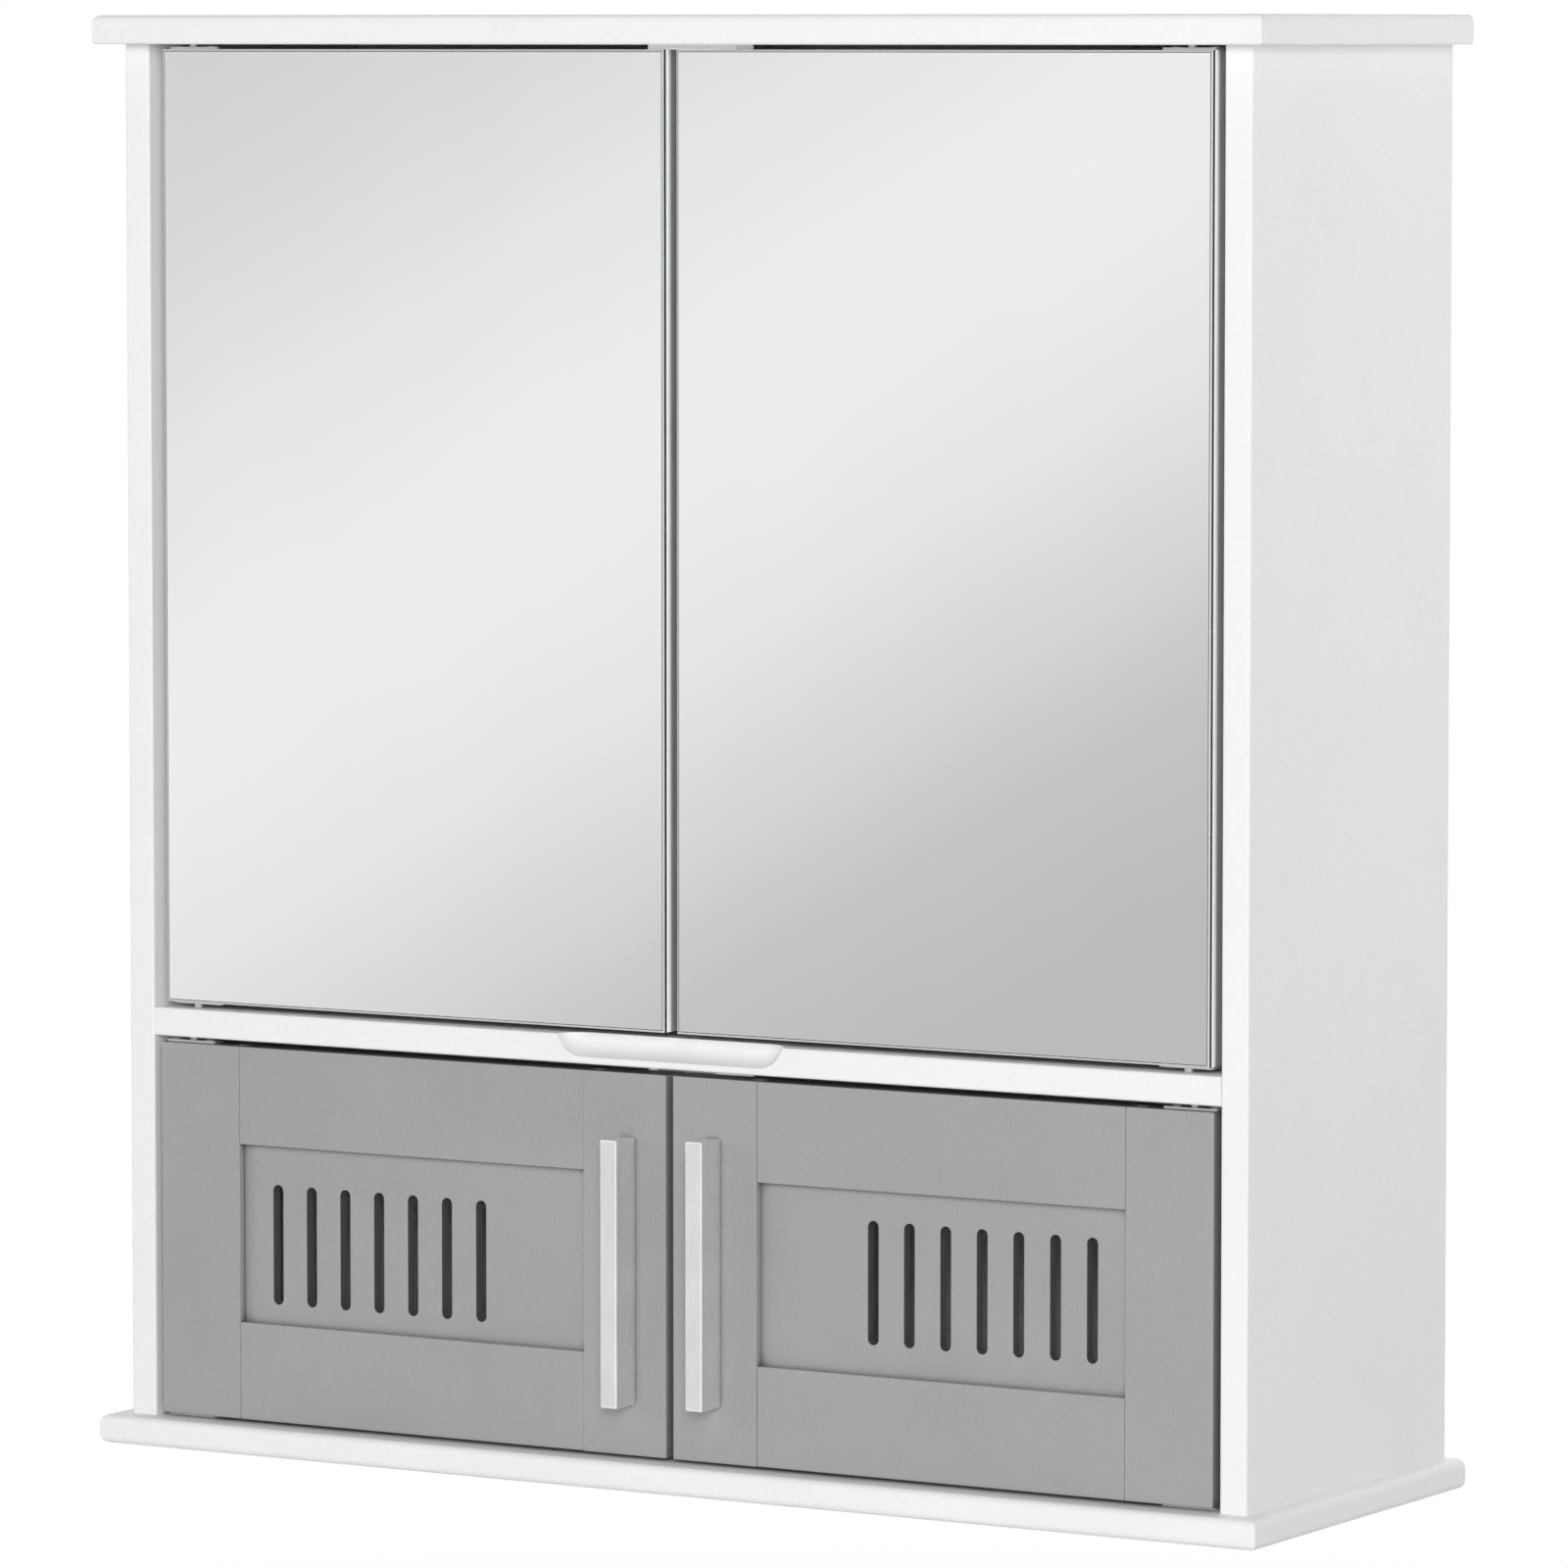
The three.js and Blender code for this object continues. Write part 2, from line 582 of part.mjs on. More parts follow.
function addHandle(door, label, plan, handlePlace) {
  const { x, z, screwZ } = handlePlace;
  part(door, `${label}_handle`, handleBar(), ALUMINIUM, [x, plan.frontY, z]);
  const shank = plan.board + HANDLE_SCREW.bite;
  screwZ.forEach((height, i) => {
    const place = [x, plan.frontY + plan.board, height];
    const name = `${label}_handle_screw_${i === 0 ? 'base' : 'top'}`;
    part(door, name, screw({ ...HANDLE_SCREW, shank }), STEEL, place);
  });
}

function addLowerDoor(parent, { name, sign }) {
  const plan = LOWER_PLAN;
  const label = `lower_${name}`;
  const door = doorGroup(parent, sign, plan);
  const middleZ = (plan.baseZ + plan.topZ) / 2;
  const [handleX] = acrossDoor(sign, plan.width - HANDLE.fromEdge, plan.width);
  const handleZ = middleZ - HANDLE_DROP[name];
  const halfSpacing = HANDLE_SCREW.spacing / 2;
  const handlePlace = { x: handleX, z: handleZ, screwZ: [handleZ - halfSpacing, handleZ + halfSpacing] };
  addDoorFrame(door, label, sign, plan, handlePlace);
  const [x0, x1] = acrossDoor(sign, 0, plan.width);
  const panelBackY = plan.frontY + PANEL.recess + PANEL.thick;
  const panel = slottedPanel(sign, plan, SLOT_DROP[name]);
  part(door, `${label}_panel`, panel, GREY, [(x0 + x1) / 2, panelBackY, middleZ]);
  addHandle(door, label, plan, handlePlace);
  addPivots(door, label, sign, plan);
  addStriker(door, label, sign, plan, plan.frontY + plan.board, STRIKER_DROP[name]);
}

// ---- The cabinet ---------------------------------------------------------------------

const cabinet = new THREE.Group();
cabinet.position.z = HANG_DROP - HEIGHT;
addBoards(cabinet);
addLooseShelf(cabinet);
addWallFixing(cabinet);
addBushes(cabinet, MIRROR_PLAN, 'mirror');
addBushes(cabinet, LOWER_PLAN, 'lower');
addCatch(cabinet, 'catch_upper', CEILING_Z);
addCatch(cabinet, 'catch_lower', SHELF_BASE_Z);
for (const side of SIDES) {
  addMirrorDoor(cabinet, side);
  addLowerDoor(cabinet, side);
}

const object = new THREE.Group();
object.add(cabinet);
export default object;
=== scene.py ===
"""The looks of the hanging wall cabinet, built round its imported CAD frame.

Metres, +Z up. The doors face -Y and the wall plane is y = 0. Every place comes from the
CAD nodes' boxes, so nothing here moves or resizes the model.
"""
import json
import math

import bmesh
import bpy
from mathutils import Matrix, Vector


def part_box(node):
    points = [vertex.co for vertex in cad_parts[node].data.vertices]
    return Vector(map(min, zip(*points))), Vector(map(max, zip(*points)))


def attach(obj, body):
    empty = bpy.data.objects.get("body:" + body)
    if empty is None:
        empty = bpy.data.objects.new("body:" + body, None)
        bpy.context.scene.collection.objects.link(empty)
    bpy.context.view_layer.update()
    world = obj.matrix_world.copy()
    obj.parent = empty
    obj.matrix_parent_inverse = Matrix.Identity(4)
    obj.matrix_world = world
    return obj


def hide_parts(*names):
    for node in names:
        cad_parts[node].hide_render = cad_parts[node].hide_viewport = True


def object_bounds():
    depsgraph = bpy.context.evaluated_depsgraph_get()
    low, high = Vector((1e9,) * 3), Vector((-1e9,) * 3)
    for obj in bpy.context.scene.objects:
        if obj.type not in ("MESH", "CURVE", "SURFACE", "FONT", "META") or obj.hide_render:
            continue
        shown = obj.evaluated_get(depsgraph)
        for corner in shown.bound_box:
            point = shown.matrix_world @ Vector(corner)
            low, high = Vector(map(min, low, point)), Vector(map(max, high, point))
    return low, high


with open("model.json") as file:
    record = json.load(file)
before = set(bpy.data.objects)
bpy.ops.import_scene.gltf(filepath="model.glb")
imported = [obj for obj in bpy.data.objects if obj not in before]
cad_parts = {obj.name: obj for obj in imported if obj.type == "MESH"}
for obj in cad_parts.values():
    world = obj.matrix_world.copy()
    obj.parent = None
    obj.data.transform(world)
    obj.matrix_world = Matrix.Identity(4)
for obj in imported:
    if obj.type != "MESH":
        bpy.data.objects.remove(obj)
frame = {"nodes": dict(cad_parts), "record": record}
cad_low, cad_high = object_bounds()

MM = 0.001
SIDES = {"left": -1, "right": 1}
NODES = frame["nodes"]


# ---- Node graphs -------------------------------------------------------------------------

class Graph:
    """The node tree of one material, with short calls for the nodes the looks need."""

    def __init__(self, name, **constants):
        self.material = bpy.data.materials.new(name)
        self.material.use_nodes = True
        self.tree = self.material.node_tree
        self.shader = self.tree.nodes["Principled BSDF"]
        self.place = self.tree.nodes.new("ShaderNodeTexCoord").outputs["Object"]
        for socket, value in constants.items():
            self.shader.inputs[socket.replace("_", " ")].default_value = value

    def link(self, output, target):
        self.tree.links.new(output, target)

    def stretched(self, stretch):
        """Object coordinates scaled on each axis, in metres."""
        mapping = self.tree.nodes.new("ShaderNodeMapping")
        mapping.inputs["Scale"].default_value = stretch
        self.link(self.place, mapping.inputs["Vector"])
        return mapping.outputs["Vector"]

    def noise(self, size, detail=3.0, roughness=0.55, stretch=(1, 1, 1)):
        """Noise whose features are about `size` metres across."""
        noise = self.tree.nodes.new("ShaderNodeTexNoise")
        noise.inputs["Scale"].default_value = 1 / size
        noise.inputs["Detail"].default_value = detail
        noise.inputs["Roughness"].default_value = roughness
        self.link(self.stretched(stretch), noise.inputs["Vector"])
        return noise.outputs["Fac"]

    def spots(self, size):
        """Distance to scattered points about `size` metres apart."""
        cells = self.tree.nodes.new("ShaderNodeTexVoronoi")
        cells.inputs["Scale"].default_value = 1 / size
        self.link(self.place, cells.inputs["Vector"])
        return cells.outputs["Distance"]

    def spread(self, value, low, high, out_low=0.0, out_high=1.0):
        """Maps low..high to out_low..out_high, clamped."""
        remap = self.tree.nodes.new("ShaderNodeMapRange")
        remap.inputs["From Min"].default_value = low
        remap.inputs["From Max"].default_value = high
        remap.inputs["To Min"].default_value = out_low
        remap.inputs["To Max"].default_value = out_high
        self.link(value, remap.inputs["Value"])
        return remap.outputs["Result"]

    def facing(self, source, centre=0.0):
        """How far the front-to-back part of a TexCoord output is from `centre`."""
        parts = self.tree.nodes.new("ShaderNodeSeparateXYZ")
        self.link(self.tree.nodes.new("ShaderNodeTexCoord").outputs[source], parts.inputs["Vector"])
        shift = self.tree.nodes.new("ShaderNodeMath")
        shift.operation = "SUBTRACT"
        shift.inputs[1].default_value = centre
        self.link(parts.outputs["Y"], shift.inputs[0])
        size = self.tree.nodes.new("ShaderNodeMath")
        size.operation = "ABSOLUTE"
        self.link(shift.outputs["Value"], size.inputs[0])
        return size.outputs["Value"]

    def blend(self, factor, first, second, mode="MIX"):
        """A colour between two colours, each a tuple or another node's output."""
        mix = self.tree.nodes.new("ShaderNodeMix")
        mix.data_type = "RGBA"
        mix.blend_type = mode
        for value, index in ((factor, 0), (first, 6), (second, 7)):
            if isinstance(value, (tuple, float, int)):
                mix.inputs[index].default_value = value if index == 0 else (*value, 1.0)
            else:
                self.link(value, mix.inputs[index])
        return mix.outputs[2]

    def painted_hollow_shade(self, reach, darkest):
        """Painted shade: 1 in the open, falling to `darkest` in slots and gaps narrower than `reach`.
        """
        occlusion = self.tree.nodes.new("ShaderNodeAmbientOcclusion")
        occlusion.samples = 8
        occlusion.inputs["Distance"].default_value = reach
        return self.spread(occlusion.outputs["AO"], 0.15, 0.7, darkest, 1.0)

    def colour(self, output):
        self.link(output, self.shader.inputs["Base Color"])

    def rough(self, output):
        self.link(output, self.shader.inputs["Roughness"])

    def bump(self, height, depth, strength=1.0):
        """Adds a bump of `depth` metres on top of any bump already joined."""
        bump = self.tree.nodes.new("ShaderNodeBump")
        bump.inputs["Strength"].default_value = strength
        bump.inputs["Distance"].default_value = depth
        self.link(height, bump.inputs["Height"])
        normal = self.shader.inputs["Normal"]
        if normal.is_linked:
            self.link(normal.links[0].from_socket, bump.inputs["Normal"])
        self.link(bump.outputs["Normal"], normal)


# ---- Materials ---------------------------------------------------------------------------

def painted_board(name, light, shade, roughness, stipple):
    """Sprayed paint on fibreboard: faint clouding, a fine stipple and uneven gloss."""
    graph = Graph(name, Roughness=roughness, Specular_IOR_Level=0.45)
    clouds = graph.spread(graph.noise(0.09, 4.0), 0.35, 0.65)
    fine = graph.spread(graph.noise(0.0022, 3.0), 0.3, 0.7, 0.985, 1.015)
    graph.colour(graph.blend(1.0, graph.blend(clouds, shade, light), fine, "MULTIPLY"))
    gloss = graph.noise(0.02, 4.0)
    graph.rough(graph.spread(gloss, 0.3, 0.7, roughness - 0.05, roughness + 0.06))
    graph.bump(graph.noise(0.0016, 2.0), stipple)
    graph.bump(graph.noise(0.012, 2.0), stipple * 2.5, 0.4)
    return graph.material


def board_with_painted_edge_shade():
    """White foil on both faces of a board, lapping over onto a dull grey band round its edges that is
    painted shade for the gaps between the doors.
    """
    graph = Graph("board_with_painted_edge_shade", Specular_IOR_Level=0.4)
    face = graph.spread(graph.facing("Generated", centre=0.5), 0.3, 0.4)
    clouds = graph.spread(graph.noise(0.03, 3.0), 0.3, 0.7)
    foil = graph.blend(clouds, (0.8, 0.8, 0.79), (0.84, 0.84, 0.83))
    # Painted shade: the dull grey of the edges stands for the shadow inside the narrow gaps.
    band = graph.blend(clouds, (0.27, 0.27, 0.27), (0.31, 0.31, 0.305))
    graph.colour(graph.blend(face, band, foil))
    graph.rough(graph.spread(graph.noise(0.004, 3.0), 0.3, 0.7, 0.48, 0.6))
    graph.bump(graph.noise(0.0014, 2.0), 0.00002)
    return graph.material


def grey_paint(name, cut=(1.0, 1.0, 1.0)):
    """Matt grey paint with a fine grain and painted shade in slots, gaps and round the handles; `cut`
    darkens the walls of slots and board edges.
    """
    graph = Graph(name, Specular_IOR_Level=0.4)
    clouds = graph.spread(graph.noise(0.05, 5.0), 0.3, 0.7)
    base = graph.blend(clouds, (0.345, 0.351, 0.36), (0.37, 0.376, 0.385))
    grain = graph.spread(graph.noise(0.0009, 3.0, 0.6, (1, 1, 0.35)), 0.25, 0.75, 0.95, 1.05)
    painted = graph.blend(1.0, base, grain, "MULTIPLY")
    # Painted shade: ambient occlusion darkens the paint in slots, recess corners, gaps and round the
    # handle bases.
    with_painted_shade = graph.blend(1.0, painted, graph.painted_hollow_shade(6 * MM, 0.2), "MULTIPLY")
    face = graph.spread(graph.facing("Normal"), 0.2, 0.5)
    wall = graph.blend(face, cut, (1.0, 1.0, 1.0))
    graph.colour(graph.blend(1.0, with_painted_shade, wall, "MULTIPLY"))
    graph.rough(graph.spread(graph.noise(0.015, 4.0), 0.3, 0.7, 0.46, 0.6))
    graph.bump(graph.noise(0.0011, 3.0), 0.00003)
    graph.bump(graph.noise(0.008, 2.0), 0.00006, 0.4)
    return graph.material


def mirror_silver():
    """Silvered glass, with traces of wiping that only change its gloss."""
    graph = Graph("mirror_silver", Metallic=1.0)
    wipe = graph.noise(0.05, 3.0, 0.5, (1, 1, 0.4))
    graph.colour(graph.blend(graph.spread(wipe, 0.3, 0.7), (0.93, 0.932, 0.931), (0.943, 0.944, 0.943)))
    graph.rough(graph.spread(wipe, 0.35, 0.75, 0.012, 0.03))
    return graph.material


def arris_glass():
    """The narrow ground facet round a mirror's face: satin, with fine scratches along it."""
    graph = Graph("arris_glass", Specular_IOR_Level=0.6)
    grind = graph.noise(0.0005, 3.0)
    graph.colour(graph.blend(graph.spread(grind, 0.3, 0.7), (0.57, 0.58, 0.58), (0.67, 0.68, 0.68)))
    graph.rough(graph.spread(grind, 0.3, 0.7, 0.25, 0.4))
    graph.bump(grind, 0.00003)
    return graph.material


def ground_glass():
    """The ground edge of a mirror, with a painted glow: emission standing in for light carried through
    the glass.
    """
    # Painted glow: emission brightens the ground edge inside the shaded gaps.
    graph = Graph("ground_glass", Specular_IOR_Level=0.5, Emission_Strength=0.34)
    graph.shader.inputs["Emission Color"].default_value = (1.0, 1.0, 0.985, 1.0)
    grind = graph.noise(0.0006, 3.0)
    graph.colour(graph.blend(graph.spread(grind, 0.3, 0.7), (0.78, 0.79, 0.78), (0.88, 0.89, 0.88)))
    graph.rough(graph.spread(grind, 0.3, 0.7, 0.25, 0.4))
    graph.bump(grind, 0.00003)
    return graph.material


def glass_edge_and_painted_reflection():
    """The dark green rim where the glass is seen edge on, over its backing paint; as the thin line on
    the face inside the arris it is a painted reflection.
    """
    graph = Graph("glass_edge_and_painted_reflection", Specular_IOR_Level=0.6)
    cut = graph.noise(0.0012, 3.0, 0.5, (0.3, 1, 0.3))
    graph.colour(graph.blend(graph.spread(cut, 0.3, 0.7), (0.012, 0.018, 0.016), (0.035, 0.05, 0.045)))
    graph.rough(graph.spread(cut, 0.3, 0.7, 0.15, 0.3))
    graph.bump(cut, 0.00004)
    return graph.material


def brushed_metal(name, dark, light, roughness, stretch, depth, metallic):
    """Metal with fine lines; `stretch` is small on the axis that the lines run along."""
    graph = Graph(name, Metallic=metallic)
    lines = graph.noise(0.0004, 3.0, 0.6, stretch)
    broad = graph.noise(0.02, 2.0)
    tone = graph.blend(graph.spread(lines, 0.3, 0.7), dark, light)
    worn = graph.spread(broad, 0.3, 0.7, 0.96, 1.03)
    graph.colour(graph.blend(1.0, tone, worn, "MULTIPLY"))
    graph.rough(graph.spread(lines, 0.3, 0.7, roughness - 0.05, roughness + 0.07))
    graph.bump(lines, depth)
    return graph.material


def moulded_plastic(name, light, shade, roughness, glow=0.0):
    """Moulded plastic with a spark-eroded grain; `glow` is a painted glow, emission that brightens it
    as if lit from within.
    """
    graph = Graph(name, Specular_IOR_Level=0.5, Emission_Strength=glow)
    graph.shader.inputs["Emission Color"].default_value = (1.0, 1.0, 0.98, 1.0)
    clouds = graph.spread(graph.noise(0.012, 3.0), 0.3, 0.7)
    graph.colour(graph.blend(clouds, shade, light))
    grain = graph.spots(0.0007)
    graph.rough(graph.spread(grain, 0.0, 0.6, roughness - 0.06, roughness + 0.06))
    graph.bump(grain, 0.00002)
    return graph.material


def ferrite():
    """A sintered magnet: dark and granular."""
    graph = Graph("ferrite", Specular_IOR_Level=0.4)
    grain = graph.noise(0.0005, 4.0, 0.7)
    graph.colour(graph.blend(graph.spread(grain, 0.3, 0.7), (0.018, 0.018, 0.02), (0.05, 0.05, 0.052)))
    graph.rough(graph.spread(grain, 0.3, 0.7, 0.5, 0.75))
    graph.bump(grain, 0.00004)
    return graph.material


MATERIALS = {
    "white_board": painted_board("white_paint", (0.9, 0.9, 0.893), (0.88, 0.88, 0.874), 0.42, 0.00001),
    "inside_board": painted_board("white_foil", (0.84, 0.84, 0.83), (0.81, 0.81, 0.8), 0.55, 0.00002),
    "board_with_painted_edge_shade": board_with_painted_edge_shade(),
    "grey_board": grey_paint("grey_paint"),
    "slotted_board": grey_paint("slotted_paint", (0.3, 0.3, 0.3)),
    "mirror_glass": mirror_silver(),
    "arris_glass": arris_glass(),
    "ground_glass": ground_glass(),
    "glass_edge_and_painted_reflection": glass_edge_and_painted_reflection(),
    "aluminium": brushed_metal(
        "satin_aluminium", (0.86, 0.86, 0.87), (0.94, 0.94, 0.95), 0.3, (1, 1, 0.02), 0.000008, 0.86),
    "steel": brushed_metal(
        "zinc_steel", (0.6, 0.61, 0.62), (0.76, 0.77, 0.78), 0.3, (0.05, 1, 1), 0.00001, 0.75),
    "nylon": moulded_plastic("white_nylon", (0.85, 0.85, 0.82), (0.8, 0.8, 0.77), 0.45),
    # The catch plastic gets a painted glow, standing in for light on the catches inside the shaded
    # gaps.
    "catch_plastic": moulded_plastic("catch_plastic", (0.86, 0.86, 0.85), (0.8, 0.8, 0.79), 0.4, 0.3),
    "ferrite": ferrite(),
}


# ---- Smoothing and edges -----------------------------------------------------------------

def smooth_by_angle():
    """A geometry node group that shades faces smooth and leaves edges over 34 degrees sharp."""
    tree = bpy.data.node_groups.new("smooth_by_angle", "GeometryNodeTree")
    tree.interface.new_socket("Geometry", in_out="INPUT", socket_type="NodeSocketGeometry")
    tree.interface.new_socket("Geometry", in_out="OUTPUT", socket_type="NodeSocketGeometry")
    start = tree.nodes.new("NodeGroupInput")
    end = tree.nodes.new("NodeGroupOutput")
    faces = tree.nodes.new("GeometryNodeSetShadeSmooth")
    edges = tree.nodes.new("GeometryNodeSetShadeSmooth")
    edges.domain = "EDGE"
    angle = tree.nodes.new("GeometryNodeInputMeshEdgeAngle")
    flat = tree.nodes.new("FunctionNodeCompare")
    flat.data_type = "FLOAT"
    flat.operation = "LESS_THAN"
    flat.inputs["B"].default_value = math.radians(34)
    tree.links.new(angle.outputs["Unsigned Angle"], flat.inputs["A"])
    tree.links.new(flat.outputs["Result"], edges.inputs["Shade Smooth"])
    tree.links.new(start.outputs["Geometry"], faces.inputs["Geometry"])
    tree.links.new(faces.outputs["Geometry"], edges.inputs["Geometry"])
    tree.links.new(edges.outputs["Geometry"], end.inputs["Geometry"])
    return tree


SMOOTHING = smooth_by_angle()


def shade(piece):
    smooth = piece.modifiers.new("smooth", "NODES")
    smooth.node_group = SMOOTHING
    weigh = piece.modifiers.new("weigh", "WEIGHTED_NORMAL")
    weigh.keep_sharp = True


def ease_edges(piece, width, segments):
    bevel = piece.modifiers.new("ease", "BEVEL")
    bevel.width = width
    bevel.segments = segments
    bevel.limit_method = "ANGLE"
    bevel.angle_limit = math.radians(34)
    bevel.use_clamp_overlap = True
    bevel.miter_outer = "MITER_ARC"


def finish_node(name, width, segments=3):
    """Welds a CAD node's facets into plain faces, eases its edges and shades it."""
    piece = NODES[name]
    piece.data.attributes.remove(piece.data.attributes["custom_normal"])
    weld = piece.modifiers.new("weld", "WELD")
    weld.merge_threshold = 0.002 * MM
    plain = piece.modifiers.new("plain", "DECIMATE")
    plain.decimate_type = "DISSOLVE"
    plain.angle_limit = math.radians(0.4)
    if width > 0:
        ease_edges(piece, width, segments)
    shade(piece)


def clothe(piece, *slots):
    """Gives a piece its materials in order; a new mesh keeps the slot numbers of its faces."""
    if piece.data.materials:
        piece.data.materials.clear()
    for slot in slots:
        piece.data.materials.append(MATERIALS[slot])


# How far each slot's edges are eased, in millimetres.
EDGE_EASE = {
    "white_board": 0.35, "inside_board": 0.4, "grey_board": 0.45, "mirror_glass": 0.5,
    "aluminium": 0.0, "steel": 0.15, "nylon": 0.25, "catch_plastic": 0.5,
}


def dress_cad_nodes():
    """Every CAD node keeps its shape and gets its slot's material and an edge to suit."""
    for part in frame["record"]["subparts"]:
        name, slot = part["node"], part["material_slot"]
        finish_node(name, EDGE_EASE[slot] * MM)
        clothe(NODES[name], slot)
    for side in SIDES:
        clothe(NODES[f"mirror_{side}_board"], "board_with_painted_edge_shade")
        clothe(NODES[f"lower_{side}_panel"], "slotted_board")


# ---- Mesh building -----------------------------------------------------------------------

def add_piece(name, mesh, body, slot, *materials):
    """Puts a finished mesh in the scene as a piece that rides on a CAD body."""
    bmesh.ops.recalc_face_normals(mesh, faces=mesh.faces)
    data = bpy.data.meshes.new(name)
    mesh.to_mesh(data)
    mesh.free()
    piece = bpy.data.objects.new(name, data)
    bpy.context.scene.collection.objects.link(piece)
    clothe(piece, *(materials or (slot,)))
    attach(piece, body)
    return piece


def block(mesh, low, high):
    """Adds a box between two corners."""
    middle = (Vector(low) + Vector(high)) / 2
    size = Vector(high) - Vector(low)
    place = Matrix.Translation(middle) @ Matrix.Diagonal((*size, 1.0))
    bmesh.ops.create_cube(mesh, size=1.0, matrix=place)


def rounded_outline(width, height, radius, steps=4):
    """Points round a rectangle centred on the origin with round corners."""
    points = []
    for corner, (x_sign, z_sign) in enumerate(((1, 1), (-1, 1), (-1, -1), (1, -1))):
        centre_x = x_sign * (width / 2 - radius)
        centre_z = z_sign * (height / 2 - radius)
        for step in range(steps + 1):
            angle = math.pi / 2 * (corner + step / steps)
            points.append((centre_x + radius * math.cos(angle), centre_z + radius * math.sin(angle)))
    return points


def stack_rings(mesh, rings, materials=None):
    """Joins closed rings of points into a skin, and caps the first and the last.

    `materials` has the slot number of the skin from each ring on.
    """
    materials = materials or [0] * len(rings)
    loops = [[mesh.verts.new(point) for point in ring] for ring in rings]
    for first, second, material in zip(loops, loops[1:], materials):
        for i in range(len(first)):
            j = (i + 1) % len(first)
            face = mesh.faces.new((first[i], first[j], second[j], second[i]))
            face.material_index = material
    mesh.faces.new(list(reversed(loops[0]))).material_index = materials[0]
    mesh.faces.new(loops[-1]).material_index = materials[-1]


def standing_on(place, axis, turn=0.0):
    """The frame of something that stands on a point, along an axis."""
    spin = Vector(axis).to_track_quat("Z", "Y").to_matrix().to_4x4()
    return Matrix.Translation(place) @ spin @ Matrix.Rotation(turn, 4, "Z")


def round_ring(radius, rise, sides):
    """Points of a circle at one height."""
    angles = [2 * math.pi * i / sides for i in range(sides)]
    return [(radius * math.cos(angle), radius * math.sin(angle), rise) for angle in angles]


# ---- Mirrors -----------------------------------------------------------------------------

SILVER, ARRIS, GROUND, DARK = range(4)
RIM_DEPTH = 2.0 * MM
ARRIS_DEPTH = 0.35 * MM
ARRIS_WIDTH = 0.45 * MM
ARRIS_LIP = 0.02 * MM
LINE_START = 0.75 * MM
LINE_END = 1.05 * MM


def build_mirror(side):
    """A mirror plate: silvered face, an arris round it with a thin line of painted reflection inside
    it, and a ground edge under a dark rim.

    Each ring is (inset from the outline, depth behind the face, material from here on).
    """
    low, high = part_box(f"mirror_{side}_glass")
    thick = high.y - low.y
    rings = (
        (0.0, thick, GROUND),
        (0.0, RIM_DEPTH, DARK),
        (0.0, ARRIS_DEPTH, ARRIS),
        (ARRIS_WIDTH, ARRIS_LIP, ARRIS),
        # A thin dark line on the face inside the arris: a painted reflection of the glass edge.
        (LINE_START, 0.0, DARK),
        (LINE_END, 0.0, SILVER),
    )
    mesh = bmesh.new()
    loops = []
    for inset, depth, _ in rings:
        x0, x1 = low.x + inset, high.x - inset
        z0, z1 = low.z + inset, high.z - inset
        y = low.y + depth
        loops.append([(x0, y, z0), (x1, y, z0), (x1, y, z1), (x0, y, z1)])
    stack_rings(mesh, loops, [material for _, _, material in rings])
    mirror = add_piece(
        f"mirror_plate_{side}", mesh, f"mirror_door_{side}", "mirror_glass",
        "mirror_glass", "arris_glass", "ground_glass", "glass_edge_and_painted_reflection",
    )
    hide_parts(f"mirror_{side}_glass")


# ---- Handles -----------------------------------------------------------------------------

HANDLE_CORNER = 0.8 * MM
HANDLE_EDGE = 0.8 * MM
HANDLE_EDGE_STEPS = 4
HANDLE_REBATE = 0.35 * MM
HANDLE_REBATE_LIP = 0.05 * MM


def build_handle(side):
    """The bar handle: rounded front edges, and a fine shadow rebate at the door."""
    low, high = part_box(f"lower_{side}_handle")
    width, length = high.x - low.x, high.z - low.z
    reach = high.y - low.y
    centre = (low + high) / 2
    sections = [
        (HANDLE_REBATE, 0.0),
        (HANDLE_REBATE, HANDLE_REBATE),
        (0.0, HANDLE_REBATE + HANDLE_REBATE_LIP),
    ]
    for step in range(HANDLE_EDGE_STEPS + 1):
        angle = math.pi / 2 * step / HANDLE_EDGE_STEPS
        inset = HANDLE_EDGE * (1 - math.cos(angle))
        sections.append((inset, reach - HANDLE_EDGE * (1 - math.sin(angle))))
    mesh = bmesh.new()
    rings = []
    for inset, out in sections:
        outline = rounded_outline(width - 2 * inset, length - 2 * inset, HANDLE_CORNER)
        rings.append([(centre.x + x, high.y - out, centre.z + z) for x, z in outline])
    stack_rings(mesh, rings)
    handle = add_piece(f"handle_{side}", mesh, f"lower_door_{side}", "aluminium")
    shade(handle)
    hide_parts(f"lower_{side}_handle")


# ---- Fastenings --------------------------------------------------------------------------

# Profiles are (share of the radius, share of the height).
HEAD_PROFILE = ((1.0, 0.0), (1.0, 0.3), (0.93, 0.62), (0.75, 0.86), (0.5, 0.97))
HEAD_SIDES = 24
CAP_PROFILE = ((1.0, 0.0), (1.0, 0.35), (0.96, 0.6), (0.9, 0.75), (0.6, 0.92), (0.25, 1.0))
CAP_SIDES = 40


def pan_head(mesh, place, axis, radius, height, turn=0.0):
    """Adds a domed screw head with a cross recess, standing on `place` along `axis`."""
    stand = standing_on(place, axis, turn)
    rings = [round_ring(radius * reach, height * rise, HEAD_SIDES) for reach, rise in HEAD_PROFILE]
    rings.append(cross_ring(radius * 0.42, radius * 0.12, height, HEAD_SIDES))
    rings.append(cross_ring(radius * 0.36, radius * 0.1, height * 0.35, HEAD_SIDES))
    stack_rings(mesh, [[stand @ Vector(point) for point in ring] for ring in rings])


